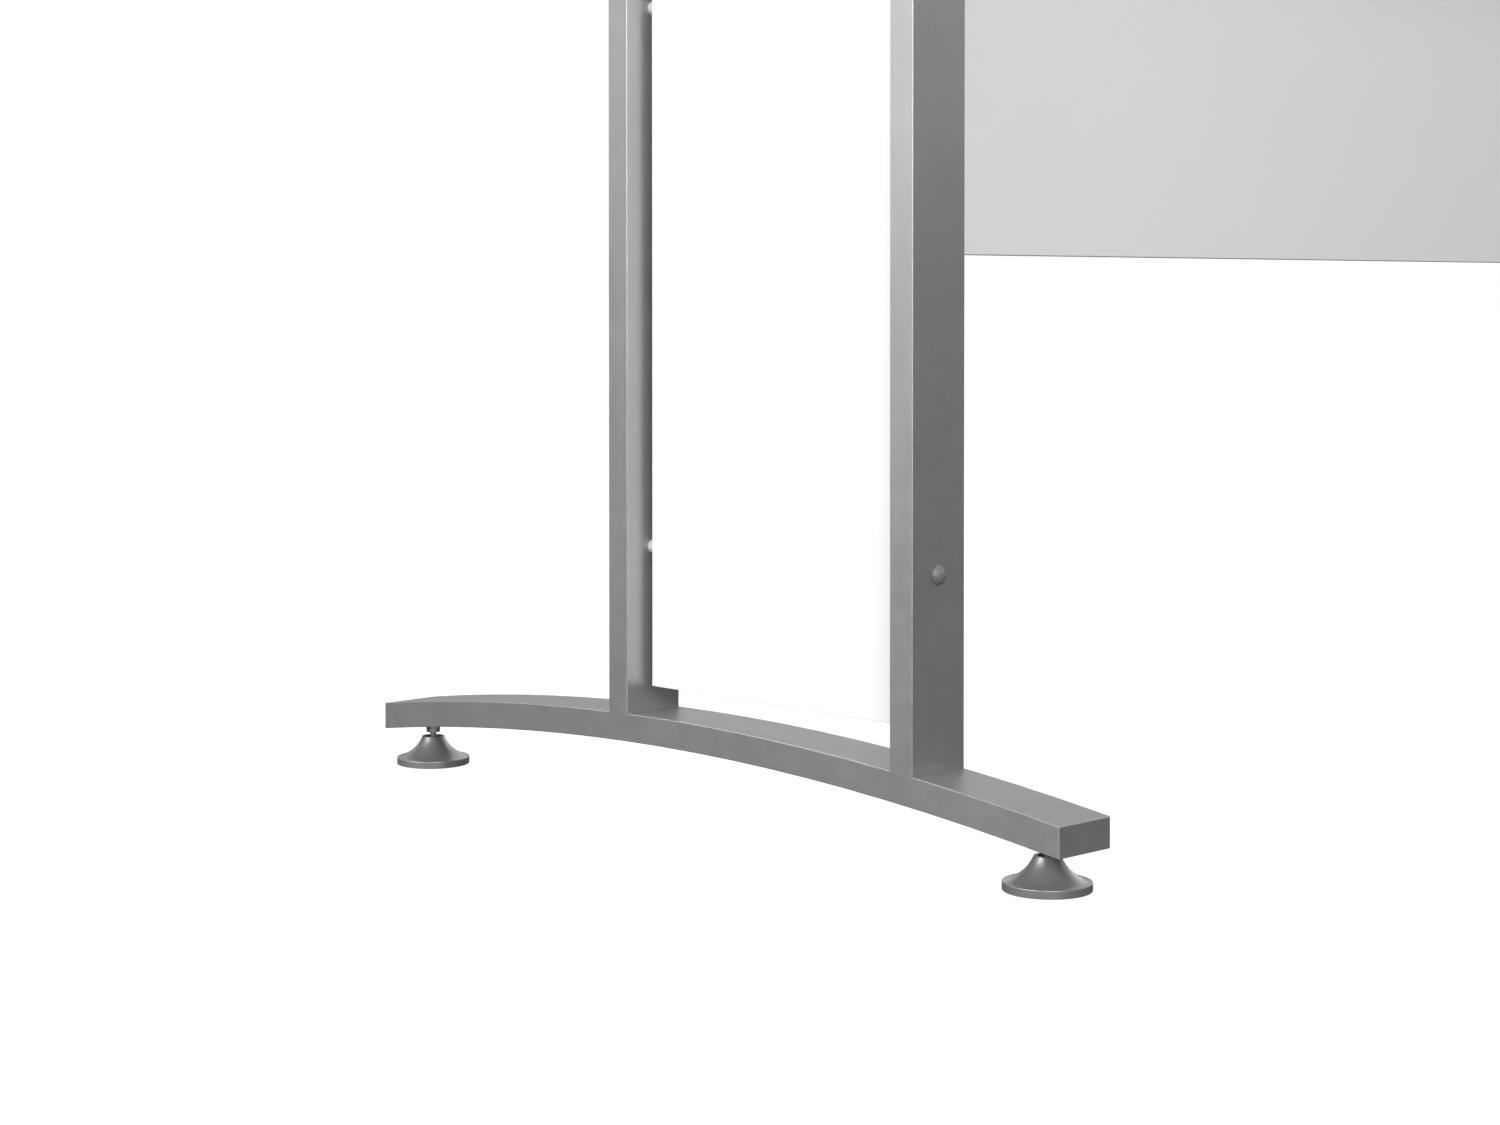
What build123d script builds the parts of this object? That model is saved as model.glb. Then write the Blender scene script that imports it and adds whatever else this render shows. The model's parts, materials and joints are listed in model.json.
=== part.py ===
from build123d import *
from math import cos, pi, sin, sqrt
import os

# Desk underframe: two end frames on arched feet, joined by two crossbeams and a modesty panel.
#
# Millimetres. +X runs along the desk, +Y points to the user's side, -Y to the visitor's, +Z is up.
# The origin is on the floor at the middle of the footprint. Each end frame is an arched foot on two
# swivelling levelling glides, two uprights with a white board held between them, and a top rail that
# carries the worktop. The right end frame is the mirror image of the left one.

# Overall sizes
frame_width = 1760.0  # over the outer faces of the two end frames
frame_height = 715.0  # from the floor to the rails' top faces
foot_length = 690.0

# Rectangular steel tube of the feet, uprights and rails
tube_width = 50.0  # along X
tube_depth = 20.0
tube_wall = 2.0
edge_radius = 0.6  # of a straight tube's outer edges
foot_edge = 0.5  # chamfer of the foot's outer edges

# Arched foot
arch_radius = 2383.0  # of the foot's underside
end_plate_thickness = 2.0
glide_inset = 30.0  # from the foot's end to a glide's axis
glide_height = 31.2  # from the floor to the foot's underside over a glide

# Uprights
upright_pitch = 277.0
upright_offset = -75.0  # of the point midway between the uprights, from the foot's middle
cope_depth = 6.0  # how far an upright starts inside the foot or rail before it is coped to it

# Top rail, with two holes for worktop screws
rail_length = 600.0
rail_hole_pitch = 512.0
rail_hole_radius = 3.5
rail_cap_flange = 3.0
rail_cap_plug = 12.0
rail_cap_clearance = 0.2

# White boards: the infill of an end frame and the modesty panel
infill_thickness = 13.0
edging_thickness = 1.0
edging_radius = 0.5
infill_side_gap = 6.0  # to each upright
infill_end_gap = 18.0  # above the foot's crown and below the rail
infill_screw_inset = 100.0  # from the board's top and bottom edges
modesty_thickness = 18.0
modesty_height = 292.0
modesty_end_gap = 4.0  # to each end frame

# Crossbeams, of the same depth and wall as the tube
beam_height = 50.0
beam_drop = 5.0  # below the rails
beam_block_length = 25.0
beam_bolt_pitch = 30.0
beam_bolt_grip = 20.0  # thread engaged in an end block

# Fasteners with a 6 mm thread
thread_radius = 3.0
thread_clearance = 0.05
thread_lead = 0.8  # chamfer at a spindle's tip
hole_clearance = 0.3
thread_engagement = 12.0
thread_spare = 1.0  # of an insert's depth beyond the screw's end
insert_radius = 4.5
spacer_radius = 5.0
low_head_radius = 4.5
low_head_height = 2.0
button_head_radius = 6.5
button_head_height = 3.6
socket_width = 3.0  # across flats
socket_depth = 1.4
cap_radius = 6.5
cap_skirt = 0.8
cap_dome = 3.4
cap_clearance = 0.05

# Screws from the crossbeam into the modesty board
modesty_screw_count = 4
modesty_screw_pitch = 480.0
modesty_engagement = 10.0

# Angle brackets from the visitor's uprights to the modesty board
bracket_length = 40.0
bracket_leg = 32.0
bracket_thickness = 2.0
bracket_drop = 20.0  # below the crossbeam
bracket_screw_radius = 2.0
bracket_screw_head_radius = 4.0
bracket_screw_head_height = 1.8
bracket_screw_length = 12.0

# Levelling glide: a threaded spindle with a ball end, in a plastic cup that swivels in a bell
boss_radius = 7.0
boss_length = 14.0
boss_proud = 1.0  # below the foot's underside, so that the sloping tube clears the collar
spindle_length = 18.5  # of the thread above the collar
collar_width = 10.0  # across flats
collar_corner_trim = 0.4  # turned off the collar's corners
collar_height = 5.2
neck_radius = 2.25
ball_radius = 4.5
ball_height = 13.0  # of the ball's centre above the floor
ball_clearance = 0.1
cup_radius = 7.0
cup_top = 3.5  # above the ball's centre
swivel_clearance = 0.2
bell_radius = 28.4
bell_height = 21.9
bell_rim_top = 5.7
bell_waist_radius = 14.5  # of the flank at bell_waist_height
bell_waist_height = 12.9
bell_lip_radius = 8.6
bell_mouth_radius = 6.4
bell_edge_radius = 0.5
pad_radius = 26.0
pad_thickness = 2.5
pad_proud = 0.3  # below the bell's rim

# Places worked out from the sizes above
foot_half = foot_length / 2
end_frame_x = frame_width / 2 - tube_width / 2
glide_y = foot_half - glide_inset
arch_centre_z = glide_height - sqrt(arch_radius**2 - glide_y**2)
arch_top_radius = arch_radius + tube_depth
rail_bottom = frame_height - tube_depth
visitor_y = upright_offset - upright_pitch / 2
user_y = upright_offset + upright_pitch / 2
infill_bottom = arch_centre_z + arch_top_radius + infill_end_gap
infill_top = rail_bottom - infill_end_gap
infill_height = infill_top - infill_bottom
infill_width = upright_pitch - tube_depth - 2 * infill_side_gap
infill_screw_heights = (infill_bottom + infill_screw_inset, infill_top - infill_screw_inset)
beam_length = frame_width - 2 * tube_width
beam_z = rail_bottom - beam_drop - beam_height / 2
modesty_length = beam_length - 2 * modesty_end_gap
modesty_y = visitor_y + tube_depth / 2 + modesty_thickness / 2
modesty_z = beam_z + beam_height / 2 - modesty_height / 2
bracket_z = beam_z - beam_height / 2 - bracket_drop - bracket_length / 2
collar_top = glide_height - boss_proud


def point(radius, height):
    """A point of a turned piece's outline, in the XZ plane."""
    return Vector(radius, 0, height)


def turned(*edges):
    """A solid turned about Z from an outline in the XZ plane."""
    return revolve(Face(Wire(edges)), Axis.Z)


def rod(radius, start, end):
    """A round rod between two points."""
    span = Vector(*end) - Vector(*start)
    upwards = (Align.CENTER, Align.CENTER, Align.MIN)
    return Plane(origin=start, z_dir=span) * Cylinder(radius, span.length, align=upwards)


def bar(width, depth, length):
    """A solid bar along Z, centred, with rounded long edges."""
    return extrude(RectangleRounded(width, depth, edge_radius), length / 2, both=True)


def tube(width, depth, length):
    """A rectangular tube along Z, centred, open at both ends."""
    bore = Box(width - 2 * tube_wall, depth - 2 * tube_wall, length)
    return bar(width, depth, length) - bore


def arch_bar(low_radius, high_radius, half_length, width):
    """A bar bent to the foot's arch about the arch's centre, with its ends cut upright."""

    def arc(radius, direction):
        places = (-half_length * direction, 0, half_length * direction)
        return ThreePointArc(*[(0, y, arch_centre_z + sqrt(radius**2 - y**2)) for y in places])

    low = arc(low_radius, 1)
    high = arc(high_radius, -1)
    outline = Wire([low, Line(low @ 1, high @ 0), high, Line(high @ 1, low @ 0)])
    return extrude(Face(outline), width / 2, both=True, dir=(1, 0, 0))


def domed(radius, height):
    """A spherical dome on z = 0."""
    sphere_radius = (radius**2 + height**2) / (2 * height)
    sphere = Pos(0, 0, height - sphere_radius) * Sphere(sphere_radius)
    return sphere & rod(radius, (0, 0, 0), (0, 0, height))


def hex_socket(top):
    """The space of a hexagon socket that opens at the height top."""
    hexagon = RegularPolygon(socket_width / 2, 6, major_radius=False)
    return Pos(0, 0, top - socket_depth) * extrude(hexagon, socket_depth)


def low_screw(shank_length):
    """A screw with a low cylindrical head. Its head stands on z = 0 and its shank points down."""
    head = rod(low_head_radius, (0, 0, 0), (0, 0, low_head_height))
    shank = rod(thread_radius, (0, 0, -shank_length), (0, 0, 0))
    return head + shank - hex_socket(low_head_height)


def button_screw(shank_length):
    """A screw with a domed head and a hexagon socket, placed as low_screw is."""
    shank = rod(thread_radius, (0, 0, -shank_length), (0, 0, 0))
    return domed(button_head_radius, button_head_height) + shank - hex_socket(button_head_height)


def bracket_screw():
    """A small pan-head screw, placed as low_screw is."""
    head = domed(bracket_screw_head_radius, bracket_screw_head_height)
    return head + rod(bracket_screw_radius, (0, 0, -bracket_screw_length), (0, 0, 0))


def cover_cap():
    """A domed cover over a low screw head, standing on z = 0."""
    skirt = rod(cap_radius, (0, 0, 0), (0, 0, cap_skirt))
    shell = skirt + Pos(0, 0, cap_skirt) * domed(cap_radius, cap_dome)
    pocket_top = low_head_height + cap_clearance
    return shell - rod(low_head_radius + cap_clearance, (0, 0, 0), (0, 0, pocket_top))


def facing(position, direction):
    """The plane in which a fastener stands, with its head towards direction."""
    return Plane(origin=position, z_dir=direction)


def outward_sides():
    """For each upright: the Y of its centre, and the way its outer face points along Y."""
    return ((visitor_y, -1), (user_y, 1))


def edged_board(length, height, thickness):
    """A board in the XZ plane and its four edge bands, centred on the origin."""
    core = Box(length - 2 * edging_thickness, thickness, height - 2 * edging_thickness)

    def strip(strip_length):
        plain = Box(strip_length, thickness, edging_thickness)
        outer_edges = plain.edges().filter_by(Axis.X).group_by(Axis.Z)[-1]
        return fillet(outer_edges, edging_radius)

    bands = []
    for way in (-1, 1):
        across = Rot(90 - 90 * way, 0, 0) * strip(length)
        upright = Rot(0, 90 * way, 0) * strip(height - 2 * edging_thickness)
        bands.append(Pos(0, 0, way * (height - edging_thickness) / 2) * across)
        bands.append(Pos(way * (length - edging_thickness) / 2, 0, 0) * upright)
    return core, Compound(children=bands)


def without(shape, cutters):
    """The shape with every cutter taken away."""
    for cutter in cutters:
        shape = shape - cutter
    return shape


# ---------------------------------------------------------------- end frame, about X = 0


def foot_parts():
    """The arched foot tube, its two end plates and its two threaded bosses."""
    whole = arch_bar(arch_radius, arch_top_radius, foot_half, tube_width)
    whole = chamfer(whole.edges(), foot_edge)
    bore_width = tube_width - 2 * tube_wall
    bore = arch_bar(arch_radius + tube_wall, arch_top_radius - tube_wall, foot_half, bore_width)
    middle = Box(2 * tube_width, foot_length - 2 * end_plate_thickness, 2 * frame_height)
    foot_tube = (whole & middle) - bore
    end_plates = whole - middle
    bosses = []
    for y in (-glide_y, glide_y):
        boss = rod(boss_radius, (0, y, collar_top), (0, y, collar_top + boss_length))
        thread = rod(thread_radius, (0, y, collar_top), (0, y, collar_top + boss_length))
        foot_tube -= boss
        bosses.append(boss - thread)
    return whole, foot_tube, end_plates, bosses


def infill_holes():
    """The axis of each infill screw: its place on the upright's outer face and its outward direction."""
    for y, way in outward_sides():
        for z in infill_screw_heights:
            yield (0, y + way * tube_depth / 2, z), (0, way, 0)


def upright(y, foot_bar, rail_bar):
    """One upright, coped to the foot and the rail, with its screw and bolt holes."""
    low = arch_centre_z + sqrt(arch_top_radius**2 - (abs(y) + tube_depth / 2) ** 2) - cope_depth
    high = rail_bottom + cope_depth
    post = Pos(0, y, (low + high) / 2) * tube(tube_width, tube_depth, high - low) - foot_bar - rail_bar
    for z in infill_screw_heights:
        post -= rod(thread_radius + hole_clearance, (0, y - tube_depth, z), (0, y + tube_depth, z))
    for z in beam_bolt_heights():
        post -= rod(thread_radius + hole_clearance, (-tube_width, y, z), (tube_width, y, z))
    return post


def beam_bolt_heights():
    """Heights of the bolts at each end of a crossbeam."""
    return (beam_z - beam_bolt_pitch / 2, beam_z + beam_bolt_pitch / 2)


def rail_parts():
    """The rail's outer form, the rail itself and its two end caps."""
    along_y = Pos(0, 0, rail_bottom + tube_depth / 2) * Rot(90, 0, 0)
    outer = along_y * bar(tube_width, tube_depth, rail_length)
    rail = along_y * tube(tube_width, tube_depth, rail_length)
    for y in (-rail_hole_pitch / 2, rail_hole_pitch / 2):
        rail -= rod(rail_hole_radius, (0, y, rail_bottom - tube_depth), (0, y, frame_height + tube_depth))
    plug_width = tube_width - 2 * tube_wall - 2 * rail_cap_clearance
    plug_depth = tube_depth - 2 * tube_wall - 2 * rail_cap_clearance
    flange = Pos(0, 0, rail_cap_flange / 2) * bar(tube_width, tube_depth, rail_cap_flange)
    flange = fillet(flange.edges().group_by(Axis.Z)[-1], edge_radius)
    cap = flange + Pos(0, 0, -rail_cap_plug / 2) * Box(plug_width, plug_depth, rail_cap_plug)
    middle_z = rail_bottom + tube_depth / 2
    caps = [Pos(0, way * rail_length / 2, middle_z) * Rot(-90 * way, 0, 0) * cap for way in (-1, 1)]
    return outer, rail, caps


def infill_parts():
    """The white board between the uprights, with its edge bands, inserts, spacers, screws and caps."""
    core, bands = edged_board(infill_width, infill_height, infill_thickness)
    place = Pos(0, upright_offset, infill_bottom + infill_height / 2) * Rot(0, 0, 90)
    board = place * core
    edging = [place * band for band in bands.solids()]
    inserts, spacers, screws, caps = [], [], [], []
    insert_length = thread_engagement + thread_spare
    for (x, y, z), (_, way, _) in infill_holes():
        gap_start = y - way * tube_depth
        board_edge = gap_start - way * infill_side_gap
        insert_end = board_edge - way * insert_length
        body = rod(insert_radius, (x, insert_end, z), (x, board_edge, z))
        clear = rod(thread_radius + hole_clearance, (x, board_edge, z), (x, gap_start, z))
        thread = rod(thread_radius + thread_clearance, (x, insert_end, z), (x, board_edge, z))
        board -= body
        edging = [band - body for band in edging]
        inserts.append(body - thread)
        spacers.append(rod(spacer_radius, (x, board_edge, z), (x, gap_start, z)) - clear)
        head = facing((x, y, z), (0, way, 0))
        screws.append(head * low_screw(tube_depth + infill_side_gap + thread_engagement))
        caps.append(head * cover_cap())
    return board, edging, inserts, spacers, screws, caps


def end_frame_parts():
    """Every piece of the left end frame that isn't a glide, at its place in the desk."""
    foot_bar, foot_tube, end_plates, bosses = foot_parts()
    rail_bar, rail, rail_caps = rail_parts()
    board, edging, inserts, spacers, screws, caps = infill_parts()
    visitor_upright = upright(visitor_y, foot_bar, rail_bar)
    bolt = button_screw(tube_width + beam_bolt_grip)
    bolts = []
    for y, _ in outward_sides():
        for z in beam_bolt_heights():
            bolts.append(facing((-tube_width / 2, y, z), (-1, 0, 0)) * bolt)
    bracket, bracket_screws = bracket_parts()
    visitor_upright -= rod(bracket_screw_radius + thread_clearance, *upright_screw_line())
    parts = {
        "foot_tube": foot_tube,
        "foot_end_plates": end_plates,
        "glide_bosses": bosses,
        "visitor_upright": visitor_upright,
        "user_upright": upright(user_y, foot_bar, rail_bar),
        "top_rail": rail,
        "rail_end_caps": rail_caps,
        "infill_board": board,
        "infill_edging": edging,
        "infill_inserts": inserts,
        "infill_spacers": spacers,
        "infill_screws": screws,
        "infill_screw_caps": caps,
        "crossbeam_bolts": bolts,
        "modesty_bracket": bracket,
        "modesty_bracket_screws": bracket_screws,
    }
    return {name: Pos(-end_frame_x, 0, 0) * group(shape) for name, shape in parts.items()}


# ---------------------------------------------------------------- brackets of the modesty board


def upright_screw_line():
    """The axis of the bracket's screw in the upright, from its tip to the bracket's face."""
    face_x = tube_width / 2 + bracket_thickness
    return (face_x - bracket_screw_length, visitor_y, bracket_z), (face_x, visitor_y, bracket_z)


def board_screw_line(spare=0.0):
    """The axis of the bracket's screw in the modesty board, from spare beyond its tip to the face."""
    x = tube_width / 2 + bracket_leg - 2 * bracket_screw_head_radius
    face_y = visitor_y + tube_depth / 2 - bracket_thickness
    return (x, face_y + bracket_screw_length + spare, bracket_z), (x, face_y, bracket_z)


def bracket_parts():
    """The angle bracket in the corner of an upright and the modesty board, and its two screws."""
    upwards = (Align.MIN, Align.MAX, Align.CENTER)
    corner = Pos(tube_width / 2, visitor_y + tube_depth / 2, bracket_z)
    angle = corner * Box(bracket_leg, bracket_thickness, bracket_length, align=upwards)
    angle += corner * Box(bracket_thickness, tube_depth, bracket_length, align=upwards)
    lines = (upright_screw_line(), board_screw_line())
    angle = without(angle, [rod(bracket_screw_radius + hole_clearance, *line) for line in lines])
    screws = [facing(face, Vector(*face) - Vector(*tip)) * bracket_screw() for tip, face in lines]
    return angle, screws


# ---------------------------------------------------------------- crossbeams and modesty board


def crossbeam(y, extra_holes):
    """One crossbeam between the end frames, with the holes it needs."""
    beam = Pos(0, y, beam_z) * Rot(0, 90, 0) * tube(beam_height, tube_depth, beam_length)
    return without(beam, extra_holes)


def end_blocks():
    """The tapped blocks welded into the crossbeams' ends."""
    blocks = []
    for y, _ in outward_sides():
        for way in (-1, 1):
            middle_x = way * (beam_length - beam_block_length) / 2
            block = Box(beam_block_length, tube_depth - 2 * tube_wall, beam_height - 2 * tube_wall)
            block = Pos(middle_x, y, beam_z) * block
            start_x = middle_x - beam_block_length
            end_x = middle_x + beam_block_length
            for z in beam_bolt_heights():
                block -= rod(thread_radius + thread_clearance, (start_x, y, z), (end_x, y, z))
            blocks.append(block)
    return blocks


def modesty_parts():
    """The modesty board with its edge bands, inserts and screws, and the beam that carries it."""
    core, bands = edged_board(modesty_length, modesty_height, modesty_thickness)
    place = Pos(0, modesty_y, modesty_z)
    board = place * core
    edging = [place * band for band in bands.solids()]
    beam_face = visitor_y - tube_depth / 2
    board_face = visitor_y + tube_depth / 2
    inserts, screws, holes = [], [], []
    first = -(modesty_screw_count - 1) / 2
    for index in range(modesty_screw_count):
        x = (first + index) * modesty_screw_pitch
        insert_end = board_face + modesty_engagement + thread_spare
        body = rod(insert_radius, (x, board_face, beam_z), (x, insert_end, beam_z))
        thread = rod(thread_radius + thread_clearance, (x, board_face, beam_z), (x, insert_end, beam_z))
        board -= body
        inserts.append(body - thread)
        holes.append(rod(thread_radius + hole_clearance, (x, beam_face, beam_z), (x, board_face, beam_z)))
        head = facing((x, beam_face, beam_z), (0, -1, 0))
        screws.append(head * button_screw(tube_depth + modesty_engagement))
    for way in (-1, 1):
        tip, face = [Vector(way * (x - end_frame_x), y, z) for x, y, z in board_screw_line(thread_spare)]
        board -= rod(bracket_screw_radius + thread_clearance, tip, face)
    return board, edging, inserts, screws, crossbeam(visitor_y, holes)


# ---------------------------------------------------------------- levelling glide, about X = Y = 0


def on_sphere(radius, angle):
    """A point of a circle about the ball's centre, at an angle above the horizontal, in radians."""
    return point(radius * cos(angle), ball_height + radius * sin(angle))


def glide_spindle():
    """The threaded spindle with its spanner collar, neck and ball end."""
    thread_top = collar_top + spindle_length
    collar_bottom = collar_top - collar_height
    hexagon = RegularPolygon(collar_width / 2, 6, major_radius=False)
    collar = Pos(0, 0, collar_bottom) * extrude(hexagon, collar_height)
    turned_radius = collar_width / sqrt(3) - collar_corner_trim
    collar &= rod(turned_radius, (0, 0, collar_bottom), (0, 0, collar_top))
    thread = rod(thread_radius - thread_clearance, (0, 0, collar_top), (0, 0, thread_top))
    thread = chamfer(thread.edges().group_by(Axis.Z)[-1], thread_lead)
    neck = rod(neck_radius, (0, 0, ball_height), (0, 0, collar_bottom))
    return Pos(0, 0, ball_height) * Sphere(ball_radius) + neck + collar + thread


def glide_cup():
    """The plastic cup that grips the ball and swivels in the bell."""
    whole = Pos(0, 0, ball_height) * Sphere(cup_radius)
    keep = rod(cup_radius, (0, 0, ball_height - cup_radius), (0, 0, ball_height + cup_top))
    return (whole & keep) - Pos(0, 0, ball_height) * Sphere(ball_radius + ball_clearance)


def glide_bell():
    """The painted bell with a round pocket for the cup and a shallow recess for the pad."""
    pocket = cup_radius + swivel_clearance
    mouth_z = ball_height + sqrt(pocket**2 - bell_mouth_radius**2)
    waist = point(bell_waist_radius, bell_waist_height)
    flank = ThreePointArc(point(bell_radius, bell_rim_top), waist, point(bell_lip_radius, bell_height))
    mouth = point(bell_mouth_radius, mouth_z)
    outline = [
        Line(point(0, pad_thickness), point(pad_radius, pad_thickness)),
        Line(point(pad_radius, pad_thickness), point(pad_radius, pad_proud)),
        Line(point(pad_radius, pad_proud), point(bell_radius, pad_proud)),
        Line(point(bell_radius, pad_proud), flank @ 0),
        flank,
        Line(flank @ 1, point(bell_mouth_radius, bell_height)),
        Line(point(bell_mouth_radius, bell_height), mouth),
        ThreePointArc(mouth, on_sphere(pocket, 0), on_sphere(pocket, -pi / 2)),
        Line(on_sphere(pocket, -pi / 2), point(0, pad_thickness)),
    ]
    bell = turned(*outline)

    def is_outer_rim(edge):
        return edge.geom_type == GeomType.CIRCLE and edge.radius > pad_radius + bell_edge_radius

    return fillet(bell.edges().filter_by(is_outer_rim), bell_edge_radius)


def glide_pad():
    """The plastic disc that meets the floor."""
    disc = rod(pad_radius, (0, 0, 0), (0, 0, pad_thickness))
    return chamfer(disc.edges().group_by(Axis.Z)[0], pad_proud / 2)


# ---------------------------------------------------------------- assembly


def group(shape):
    """One shape from a shape or a list of shapes."""
    if isinstance(shape, list):
        return Compound(children=[solid for item in shape for solid in item.solids()])
    return shape


def build_nodes():
    """Every named piece at its place."""
    nodes = {}
    for name, shape in end_frame_parts().items():
        nodes["left_" + name] = shape
        nodes["right_" + name] = mirror(shape, Plane.YZ)
    board, edging, inserts, screws, visitor_beam = modesty_parts()
    nodes["modesty_board"] = board
    nodes["modesty_edging"] = group(edging)
    nodes["modesty_inserts"] = group(inserts)
    nodes["modesty_screws"] = group(screws)
    nodes["visitor_crossbeam"] = visitor_beam
    nodes["user_crossbeam"] = crossbeam(user_y, [])
    nodes["crossbeam_end_blocks"] = group(end_blocks())
    glide = {"spindle": glide_spindle(), "cup": glide_cup(), "bell": glide_bell(), "pad": glide_pad()}
    for side, x in (("left", -end_frame_x), ("right", end_frame_x)):
        for end, y in (("visitor", -glide_y), ("user", glide_y)):
            for piece, shape in glide.items():
                nodes[f"{side}_{end}_glide_{piece}"] = Pos(x, y, 0) * shape
    return nodes


os.makedirs("parts", exist_ok=True)
for node, solid_shape in build_nodes().items():
    export_step(solid_shape, f"parts/{node}.step")
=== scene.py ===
import json
import math

import bmesh
import bpy
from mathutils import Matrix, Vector


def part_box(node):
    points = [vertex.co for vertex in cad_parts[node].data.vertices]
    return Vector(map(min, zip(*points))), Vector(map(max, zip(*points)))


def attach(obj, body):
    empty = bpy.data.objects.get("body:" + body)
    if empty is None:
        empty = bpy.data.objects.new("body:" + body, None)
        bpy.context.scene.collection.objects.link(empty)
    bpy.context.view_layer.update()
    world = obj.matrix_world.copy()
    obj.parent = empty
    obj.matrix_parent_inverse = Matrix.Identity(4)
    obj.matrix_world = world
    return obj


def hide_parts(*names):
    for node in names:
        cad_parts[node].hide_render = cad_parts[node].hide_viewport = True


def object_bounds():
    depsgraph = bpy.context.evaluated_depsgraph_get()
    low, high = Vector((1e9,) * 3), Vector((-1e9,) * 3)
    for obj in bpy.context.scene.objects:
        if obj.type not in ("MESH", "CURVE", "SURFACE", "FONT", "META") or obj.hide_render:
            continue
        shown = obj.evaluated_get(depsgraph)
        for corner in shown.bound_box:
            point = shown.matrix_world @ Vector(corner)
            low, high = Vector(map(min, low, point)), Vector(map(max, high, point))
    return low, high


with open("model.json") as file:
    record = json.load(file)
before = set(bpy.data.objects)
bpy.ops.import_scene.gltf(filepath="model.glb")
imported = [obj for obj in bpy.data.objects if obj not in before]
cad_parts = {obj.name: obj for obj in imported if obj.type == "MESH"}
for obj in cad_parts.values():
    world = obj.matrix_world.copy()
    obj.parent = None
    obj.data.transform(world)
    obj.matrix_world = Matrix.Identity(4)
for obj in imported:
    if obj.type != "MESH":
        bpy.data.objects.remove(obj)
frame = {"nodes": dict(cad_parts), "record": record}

# The desk underframe in its studio. Metres, in the frame's own axes: +X along the desk, -Y towards the
# visitor, +Z up. The CAD nodes keep their shapes and get their finishes here. The glides' spindles are
# rebuilt with a real thread.

CAD_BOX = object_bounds()
SIDES = ("left", "right")
ENDS = ("visitor", "user")
GLIDES = tuple(f"{side}_{end}" for side in SIDES for end in ENDS)
MM = 0.001


# ------------------------------------------------------------------ node helpers


class Finish:
    """A procedural material round one Principled shader, in the object's own metres."""

    def __init__(self, name, metallic, specular=0.5):
        self.material = bpy.data.materials.new(name)
        self.material.use_nodes = True
        self.nodes = self.material.node_tree.nodes
        self.links = self.material.node_tree.links
        self.shader = self.nodes["Principled BSDF"]
        self.shader.inputs["Metallic"].default_value = metallic
        self.shader.inputs["Specular IOR Level"].default_value = specular
        self.place = self.nodes.new("ShaderNodeTexCoord").outputs["Object"]

    def set(self, name, value):
        """Gives one of the shader's sockets a value that is the same all over."""
        self.shader.inputs[name].default_value = value

    def feed(self, name, output):
        """Links an output to one of the shader's sockets."""
        self.links.new(output, self.shader.inputs[name])

    def stretched(self, scale):
        """The object's coordinates, scaled along each axis."""
        mapping = self.nodes.new("ShaderNodeMapping")
        mapping.inputs["Scale"].default_value = scale
        self.links.new(self.place, mapping.inputs["Vector"])
        return mapping.outputs["Vector"]

    def noise(self, size, detail=2.0, place=None):
        """Noise whose grain is about size metres."""
        node = self.nodes.new("ShaderNodeTexNoise")
        node.inputs["Scale"].default_value = 1 / size
        node.inputs["Detail"].default_value = detail
        self.links.new(place or self.place, node.inputs["Vector"])
        return node.outputs["Fac"]

    def cells(self, size, feature="F1"):
        """The distance from the middle of each cell, in a pattern of cells of about size metres."""
        node = self.nodes.new("ShaderNodeTexVoronoi")
        node.feature = feature
        node.inputs["Scale"].default_value = 1 / size
        self.links.new(self.place, node.inputs["Vector"])
        return node.outputs["Distance"]

    def spread(self, value, low, high, start=0.3, end=0.7):
        """A value between start and end carried to the range from low to high."""
        node = self.nodes.new("ShaderNodeMapRange")
        for name, number in (("From Min", start), ("From Max", end), ("To Min", low), ("To Max", high)):
            node.inputs[name].default_value = number
        self.links.new(value, node.inputs["Value"])
        return node.outputs["Result"]

    def math(self, operation, first, second=None):
        """One sum on outputs or numbers."""
        node = self.nodes.new("ShaderNodeMath")
        node.operation = operation
        for socket, value in zip(node.inputs, (first, second)):
            if isinstance(value, (int, float)):
                socket.default_value = value
            elif value is not None:
                self.links.new(value, socket)
        return node.outputs["Value"]

    def tint(self, value, low, high):
        """A colour that goes from low to high with the value."""
        node = self.nodes.new("ShaderNodeMix")
        node.data_type = "RGBA"
        node.inputs["A"].default_value = (*low, 1)
        node.inputs["B"].default_value = (*high, 1)
        self.links.new(value, node.inputs["Factor"])
        return node.outputs["Result"]

    def relief(self, height, depth, below=None):
        """A bump of the given depth in metres, over another bump if there is one."""
        node = self.nodes.new("ShaderNodeBump")
        node.inputs["Distance"].default_value = depth
        self.links.new(height, node.inputs["Height"])
        if below is not None:
            self.links.new(below, node.inputs["Normal"])
        return node.outputs["Normal"]


def grey(value, warmth=0.0):
    """A grey as a linear colour, a little warmer or cooler."""
    return (value * (1 + warmth), value, value * (1 - warmth))


def glide_radius(finish):
    """The distance from the nearest glide's axis, which is the same for all four by symmetry."""
    low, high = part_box("right_user_glide_pad")
    centre = (low + high) / 2
    separate = finish.nodes.new("ShaderNodeSeparateXYZ")
    finish.links.new(finish.place, separate.inputs["Vector"])
    squares = []
    for axis in ("X", "Y"):
        reach = finish.math("ABSOLUTE", separate.outputs[axis])
        offset = finish.math("SUBTRACT", reach, getattr(centre, axis.lower()))
        squares.append(finish.math("POWER", offset, 2))
    return finish.math("SQRT", finish.math("ADD", *squares))


# ------------------------------------------------------------------ finishes


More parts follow.
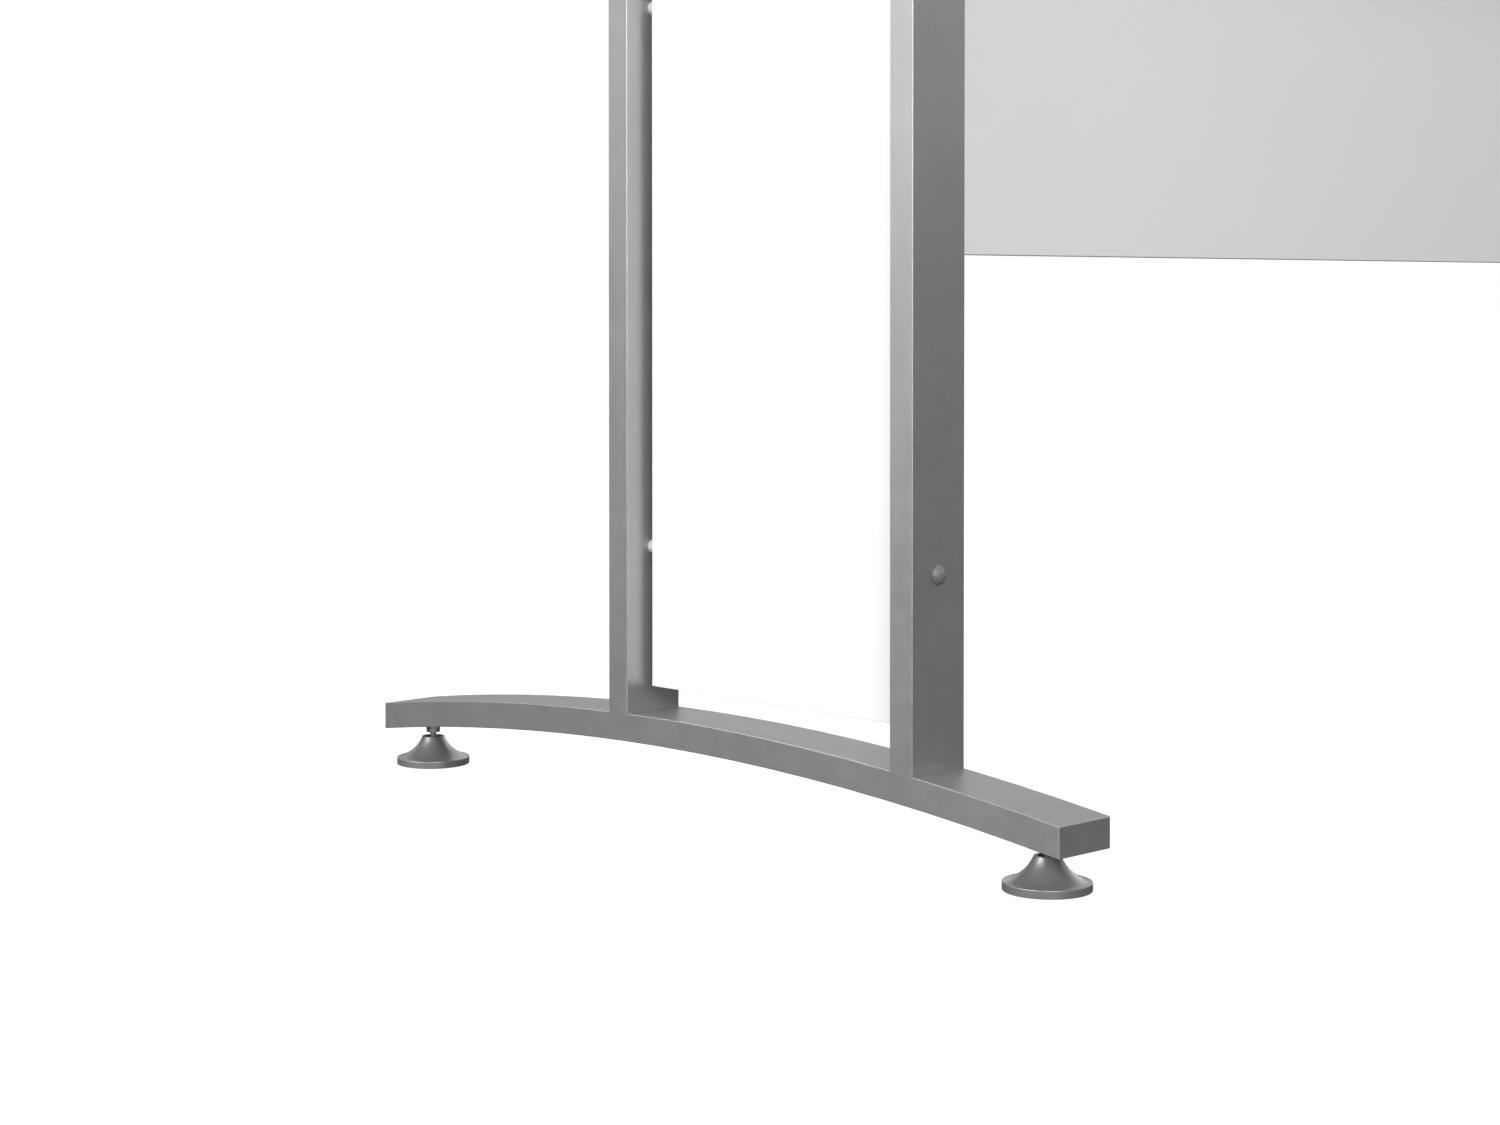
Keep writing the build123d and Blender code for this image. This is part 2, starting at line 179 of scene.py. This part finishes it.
def powder_coat(name, base, roughness):
    """Satin silver-grey powder coat: fine flakes, a slight cloudiness and an orange-peel skin."""
    finish = Finish(name, metallic=0.72)
    finish.set("Specular Tint", (*grey(0.6), 1))
    flakes = finish.noise(size=0.35 * MM, detail=1.0)
    clouds = finish.noise(size=60 * MM, detail=3.0)
    peel = finish.noise(size=1.6 * MM)
    patches = finish.noise(size=9 * MM)
    flake_share = 0.6
    flake_part = finish.math("MULTIPLY", flakes, flake_share)
    mixed = finish.math("ADD", flake_part, finish.math("MULTIPLY", clouds, 1 - flake_share))
    finish.feed("Base Color", finish.tint(finish.spread(mixed, 0, 1), grey(0.9 * base), grey(1.1 * base)))
    finish.feed("Roughness", finish.spread(patches, low=roughness - 0.03, high=roughness + 0.03))
    grain = finish.relief(flakes, depth=0.004 * MM)
    finish.feed("Normal", finish.relief(peel, depth=0.02 * MM, below=grain))
    return finish.material


def glide_coat():
    """The same coat on a turned bell, whose turning marks just show."""
    finish = Finish("glide_paint", metallic=0.6)
    ring_pitch = 0.45 * MM
    rings = finish.math("SINE", finish.math("MULTIPLY", glide_radius(finish), 2 * math.pi / ring_pitch))
    flakes = finish.noise(size=0.3 * MM, detail=1.0)
    patches = finish.noise(size=14 * MM)
    waves = finish.noise(size=4 * MM)
    finish.feed("Base Color", finish.tint(finish.spread(flakes, 0, 1), grey(0.27), grey(0.30)))
    finish.feed("Roughness", finish.spread(patches, low=0.31, high=0.34))
    turned = finish.relief(rings, depth=0.0006 * MM)
    finish.feed("Normal", finish.relief(waves, depth=0.006 * MM, below=turned))
    return finish.material


def zinc():
    """Zinc plating: cloudy, with fine drawn scratches along Z."""
    finish = Finish("zinc_steel", metallic=1.0)
    clouds = finish.noise(size=1.8 * MM, detail=4.0)
    scratches = finish.noise(size=0.5 * MM, place=finish.stretched((1.0, 1.0, 0.15)))
    dull, bright = grey(0.40, warmth=-0.01), grey(0.52, warmth=-0.02)
    finish.feed("Base Color", finish.tint(finish.spread(clouds, 0, 1), dull, bright))
    finish.feed("Roughness", finish.spread(scratches, low=0.26, high=0.42))
    finish.feed("Normal", finish.relief(scratches, depth=0.004 * MM))
    return finish.material


def melamine():
    """White melamine face with a fine pearl texture."""
    finish = Finish("white_board", metallic=0.0, specular=0.45)
    clouds = finish.noise(size=90 * MM)
    pearl = finish.cells(size=1.1 * MM, feature="SMOOTH_F1")
    fine = finish.noise(size=0.45 * MM)
    finish.feed("Base Color", finish.tint(clouds, (0.805, 0.797, 0.791), (0.825, 0.818, 0.812)))
    finish.feed("Roughness", finish.spread(fine, low=0.38, high=0.46))
    grain = finish.relief(fine, depth=0.006 * MM)
    finish.feed("Normal", finish.relief(pearl, depth=0.018 * MM, below=grain))
    return finish.material


def edge_band():
    """White edge band: smoother than the board, and faintly wavy."""
    finish = Finish("white_edging", metallic=0.0)
    fine = finish.noise(size=0.5 * MM)
    waves = finish.noise(size=1.5 * MM, detail=1.0)
    finish.feed("Base Color", finish.tint(fine, (0.79, 0.782, 0.776), (0.81, 0.803, 0.797)))
    finish.feed("Roughness", finish.spread(waves, low=0.3, high=0.38))
    finish.feed("Normal", finish.relief(waves, depth=0.006 * MM))
    return finish.material


def moulded(name, base, grain, roughness, depth):
    """Moulded plastic with a spark-eroded skin, whose pits are grain wide and depth deep."""
    finish = Finish(name, metallic=0.0)
    skin = finish.cells(size=grain)
    clouds = finish.noise(size=8 * MM)
    darker = tuple(0.94 * part for part in base)
    finish.feed("Base Color", finish.tint(clouds, darker, base))
    finish.feed("Roughness", finish.spread(skin, roughness, roughness + 0.08, start=0.0, end=0.8))
    finish.feed("Normal", finish.relief(skin, depth))
    return finish.material


FINISHES = {
    "frame_paint": powder_coat("frame_paint", base=0.36, roughness=0.38),
    "glide_paint": glide_coat(),
    "zinc_steel": zinc(),
    "white_board": melamine(),
    "white_edging": edge_band(),
    "grey_plastic": moulded("grey_plastic", grey(0.17), grain=0.35 * MM, roughness=0.38, depth=0.012 * MM),
    "pale_nylon": moulded("pale_nylon", grey(0.72, 0.01), grain=0.6 * MM, roughness=0.4, depth=0.006 * MM),
    "floor_pad": moulded("floor_pad", grey(0.05), grain=0.4 * MM, roughness=0.6, depth=0.02 * MM),
}

for subpart in frame["record"]["subparts"]:
    node = frame["nodes"][subpart["node"]]
    node.data.materials.clear()
    node.data.materials.append(FINISHES[subpart["material_slot"]])


# ------------------------------------------------------------------ glide spindles

# The CAD spindle's sizes, with a chamfered collar, a filleted neck and a cut thread
COLLAR_FLAT = 5.0 * MM  # from the axis to a flat
COLLAR_HEIGHT = 5.2 * MM
COLLAR_FACE = 4.75 * MM  # radius of the flat ring left on the collar's faces by its chamfer
COLLAR_SLOPE = math.tan(math.radians(30))
NECK_RADIUS = 2.25 * MM
NECK_FILLET = 0.7 * MM
BALL_RADIUS = 4.5 * MM
THREAD_RADIUS = 2.95 * MM
THREAD_LENGTH = 18.5 * MM
THREAD_LEAD = 0.8 * MM  # chamfer at the thread's tip
THREAD_RELIEF = 1.0 * MM  # plain undercut between the collar and the thread
THREAD_CREST = 1 / 8  # the crest's width, as a share of the pitch, as are the next two
THREAD_ROOT = 1 / 4
THREAD_DEPTH = 0.54
SPINDLE_COLUMNS = 72
ROWS_PER_PITCH = 12
BALL_ROWS = 24
FILLET_ROWS = 6
SHARP_EDGE = math.radians(28)  # edges that turn by more than this are not smoothed


def thread_pitch():
    """The travel of one turn, from the coupling of a glide's spin to its height."""
    return 2 * math.pi / frame["record"]["behaviour"]["couplings"][0]["ratio"]


def hexagon_radius(angle, corner_radius):
    """The collar's radius at an angle round its axis, with its corners turned down to a radius."""
    from_flat = (angle + math.pi / 6) % (math.pi / 3) - math.pi / 6
    return min(COLLAR_FLAT / math.cos(from_flat), corner_radius)


def thread_depth(turns):
    """How far the thread lies below its crest, after a number of turns, as a share of the pitch."""
    flank = (1 - THREAD_CREST - THREAD_ROOT) / 2
    place = turns % 1.0
    share = min(max((place - THREAD_CREST) / flank, 0), max((1 - place) / flank, 0), 1)
    return THREAD_DEPTH * share


def spindle_rings(bottom, top, corner_radius):
    """The spindle's rings from its ball to its tip, each as a function from an angle to (radius, height)."""

    def plain(radius, height):
        return lambda angle: (radius, height)

    def collar_edge(height, inward):
        def place(angle):
            radius = hexagon_radius(angle, corner_radius)
            return radius, height + inward * (radius - COLLAR_FACE) * COLLAR_SLOPE

        return place

    def thread(height):
        def place(angle):
            turns = (height - thread_start) / pitch - angle / (2 * math.pi)
            radius = THREAD_RADIUS - thread_depth(turns) * pitch
            return min(radius, THREAD_RADIUS - THREAD_LEAD + (top - height)), height

        return place

    pitch = thread_pitch()
    collar_top = top - THREAD_LENGTH
    collar_bottom = collar_top - COLLAR_HEIGHT
    thread_start = collar_top + THREAD_RELIEF
    ball_centre = bottom + BALL_RADIUS
    neck_angle = math.acos(NECK_RADIUS / BALL_RADIUS)
    rings = []
    for row in range(1, BALL_ROWS + 1):
        angle = -math.pi / 2 + (neck_angle + math.pi / 2) * row / BALL_ROWS
        rings.append(plain(BALL_RADIUS * math.cos(angle), ball_centre + BALL_RADIUS * math.sin(angle)))
    for row in range(FILLET_ROWS + 1):
        angle = math.pi / 2 * row / FILLET_ROWS
        radius = NECK_RADIUS + NECK_FILLET * (1 - math.cos(angle))
        rings.append(plain(radius, collar_bottom - NECK_FILLET * (1 - math.sin(angle))))
    rings.append(plain(COLLAR_FACE, collar_bottom))
    rings.append(collar_edge(collar_bottom, 1))
    rings.append(collar_edge(collar_top, -1))
    rings.append(plain(COLLAR_FACE, collar_top))
    core = THREAD_RADIUS - THREAD_DEPTH * pitch
    rings.append(plain(core, collar_top))
    rows = int((top - thread_start) / pitch * ROWS_PER_PITCH)
    for row in range(rows + 1):
        rings.append(thread(thread_start + (top - thread_start) * row / rows))
    return rings


def ring_stack(name, rings, bottom, top):
    """A closed mesh about Z through a stack of rings, with a point on the axis at each end."""
    mesh = bmesh.new()
    loops = []
    for ring in rings:
        loop = []
        for column in range(SPINDLE_COLUMNS):
            angle = 2 * math.pi * column / SPINDLE_COLUMNS
            radius, height = ring(angle)
            loop.append(mesh.verts.new((radius * math.cos(angle), radius * math.sin(angle), height)))
        loops.append(loop)
    ends = (mesh.verts.new((0, 0, bottom)), mesh.verts.new((0, 0, top)))
    for column in range(SPINDLE_COLUMNS):
        after = (column + 1) % SPINDLE_COLUMNS
        mesh.faces.new((ends[0], loops[0][after], loops[0][column]))
        mesh.faces.new((ends[1], loops[-1][column], loops[-1][after]))
        for low, high in zip(loops, loops[1:]):
            mesh.faces.new((low[column], low[after], high[after], high[column]))
    data = bpy.data.meshes.new(name)
    mesh.to_mesh(data)
    mesh.free()
    data.polygons.foreach_set("use_smooth", [True] * len(data.polygons))
    data.set_sharp_from_angle(angle=SHARP_EDGE)
    return data


def make_spindles():
    """A spindle with a real thread in each glide."""
    low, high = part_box("left_user_glide_spindle")
    rings = spindle_rings(low.z, high.z, corner_radius=(high.x - low.x) / 2)
    shape = ring_stack("glide_spindle", rings, low.z, high.z)
    shape.materials.append(FINISHES["zinc_steel"])
    for glide in GLIDES:
        low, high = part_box(f"{glide}_glide_spindle")
        spindle = bpy.data.objects.new(f"{glide}_threaded_spindle", shape)
        spindle.location = ((low.x + high.x) / 2, (low.y + high.y) / 2, 0)
        bpy.context.scene.collection.objects.link(spindle)
        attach(spindle, f"{glide}_spindle")
        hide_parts(f"{glide}_glide_spindle")


make_spindles()


# ------------------------------------------------------------------ studio


FLOOR_SIZE = 80.0
FLOOR_GREY = 0.85
FLOOR_GLOW = 1.2
FLOOR_GLOW_SHARE = 0.75
FLOOR_BOUNCE = 0.09  # the floor's grey as everything but the camera sees it
HORIZON_LIGHT = 0.30
OVERHEAD_LIGHT = 0.66
OVERHEAD_HEIGHT = 0.45  # sine of the angle above the horizon from which the light is the overhead light
SOFTBOX_SIZE = 2.0
EDGE_LAMP_SIZE = 0.7  # of the lamps that are only mirrored, on rounded edges, rims and the foot's top


def floor_finish():
    """Pale floor. It looks near white, and is a dark grey in the reflections and the bounced light."""
    material = bpy.data.materials.new("studio_floor")
    material.use_nodes = True
    nodes, links = material.node_tree.nodes, material.node_tree.links
    nodes.clear()
    seen = nodes.new("ShaderNodeMixShader")
    seen.inputs["Fac"].default_value = FLOOR_GLOW_SHARE
    shade = nodes.new("ShaderNodeBsdfDiffuse")
    shade.inputs["Color"].default_value = (*grey(FLOOR_GREY), 1)
    glow = nodes.new("ShaderNodeEmission")
    glow.inputs["Strength"].default_value = FLOOR_GLOW
    links.new(shade.outputs["BSDF"], seen.inputs[1])
    links.new(glow.outputs["Emission"], seen.inputs[2])
    bounced = nodes.new("ShaderNodeBsdfDiffuse")
    bounced.inputs["Color"].default_value = (*grey(FLOOR_BOUNCE), 1)
    path = nodes.new("ShaderNodeLightPath")
    either = nodes.new("ShaderNodeMixShader")
    links.new(path.outputs["Is Camera Ray"], either.inputs["Fac"])
    links.new(bounced.outputs["BSDF"], either.inputs[1])
    links.new(seen.outputs["Shader"], either.inputs[2])
    output = nodes.new("ShaderNodeOutputMaterial")
    links.new(either.outputs["Shader"], output.inputs["Surface"])
    return material


def make_floor():
    """A wide flat floor at the object's lowest point."""
    mesh = bpy.data.meshes.new("floor")
    level = CAD_BOX[0].z
    reach = FLOOR_SIZE / 2
    corners = [(x * reach, y * reach, level) for x, y in ((-1, -1), (1, -1), (1, 1), (-1, 1))]
    mesh.from_pydata(corners, [], [(0, 1, 2, 3)])
    floor = bpy.data.objects.new("floor", mesh)
    floor.data.materials.append(floor_finish())
    bpy.context.scene.collection.objects.link(floor)


def softbox(name, position, target, size, power, diffuse=True, glossy=True):
    """A square soft light at a position, turned towards a target. It can leave out one kind of reflection."""
    light = bpy.data.lights.new(name, "AREA")
    light.size = size
    light.energy = power
    lamp = bpy.data.objects.new(name, light)
    lamp.location = position
    lamp.rotation_mode = "QUATERNION"
    lamp.rotation_quaternion = (Vector(target) - Vector(position)).to_track_quat("-Z", "Y")
    lamp.visible_camera = False
    lamp.visible_diffuse = diffuse
    lamp.visible_glossy = glossy
    bpy.context.scene.collection.objects.link(lamp)


def make_world():
    """A white backdrop, and light all round that grows from the horizon to a height."""
    world = bpy.data.worlds.new("studio")
    world.use_nodes = True
    nodes, links = world.node_tree.nodes, world.node_tree.links
    direction = nodes.new("ShaderNodeSeparateXYZ")
    links.new(nodes.new("ShaderNodeTexCoord").outputs["Generated"], direction.inputs["Vector"])
    grown = nodes.new("ShaderNodeMapRange")
    grown.inputs["From Max"].default_value = OVERHEAD_HEIGHT
    grown.inputs["To Min"].default_value = HORIZON_LIGHT
    grown.inputs["To Max"].default_value = OVERHEAD_LIGHT
    links.new(direction.outputs["Z"], grown.inputs["Value"])
    path = nodes.new("ShaderNodeLightPath")
    level = nodes.new("ShaderNodeMix")
    links.new(grown.outputs["Result"], level.inputs["A"])
    level.inputs["B"].default_value = 1.0
    links.new(path.outputs["Is Camera Ray"], level.inputs["Factor"])
    nodes["Background"].inputs["Color"].default_value = (1, 1, 1, 1)
    links.new(level.outputs["Result"], nodes["Background"].inputs["Strength"])
    bpy.context.scene.world = world


make_floor()
make_world()
LEFT_BOARD, RIGHT_BOARD = (sum(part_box(f"{side}_infill_board"), Vector()) / 2 for side in SIDES)

# The lamps' places are measured from the middle of a board, and their powers are in watts
for name, offset, power in (
    ("key", (-3.2, 0.2, 1.0), 80.0),
    ("side", (-2.9, 1.4, 1.0), 32.0),
    ("fill", (-1.6, -3.0, 1.0), 73.0),
    ("right", (2.5, -1.8, 1.4), 7.0),
    ("back", (2.4, 2.4, 1.4), 5.0),
):
    softbox(name, LEFT_BOARD + Vector(offset), LEFT_BOARD, SOFTBOX_SIZE, power)
RIGHT_LAMP = RIGHT_BOARD + Vector((3.0, 1.2, 0.9))
softbox("right_side", RIGHT_LAMP, RIGHT_BOARD, SOFTBOX_SIZE, 20.0)
softbox("right_boards", RIGHT_LAMP, RIGHT_BOARD, SOFTBOX_SIZE, 60.0, glossy=False)
for name, offset, power in (
    ("upright_edges", (-2.5, -2.5, 0.3), 15.0),
    ("top_edges", (0.0, 2.4, 2.4), 30.0),
    ("rim_edges", (-1.0, -1.0, 3.2), 12.0),
    ("foot_sheen", (2.4, 2.4, 0.3), 1.1),
):
    softbox(name, LEFT_BOARD + Vector(offset), LEFT_BOARD, EDGE_LAMP_SIZE, power, diffuse=False)

bpy.context.scene.view_settings.view_transform = "Standard"


# ------------------------------------------------------------------ camera

# Fitted to the object's own edges, with the upright edges nearly upright in the frame
CAMERA_PLACE = Vector((-2.1496, -1.3949, 0.37285))
CAMERA_AZIMUTH = math.radians(316.15)
CAMERA_PITCH = math.radians(1.0)
CAMERA_LENS = 64.69  # millimetres, as is the sensor's width
CAMERA_SENSOR = 36.0
CAMERA_SHIFT_Y = -0.1486  # share of the frame's width


def make_camera():
    """The camera at the photograph's viewing angle."""
    data = bpy.data.cameras.new("camera")
    data.lens = CAMERA_LENS
    data.sensor_width = CAMERA_SENSOR
    data.shift_y = CAMERA_SHIFT_Y
    camera = bpy.data.objects.new("camera", data)
    camera.location = CAMERA_PLACE
    level = math.cos(CAMERA_PITCH)
    ahead = (-math.sin(CAMERA_AZIMUTH) * level, math.cos(CAMERA_AZIMUTH) * level, -math.sin(CAMERA_PITCH))
    camera.rotation_mode = "QUATERNION"
    camera.rotation_quaternion = Vector(ahead).to_track_quat("-Z", "Y")
    bpy.context.scene.collection.objects.link(camera)
    bpy.context.scene.camera = camera


make_camera()
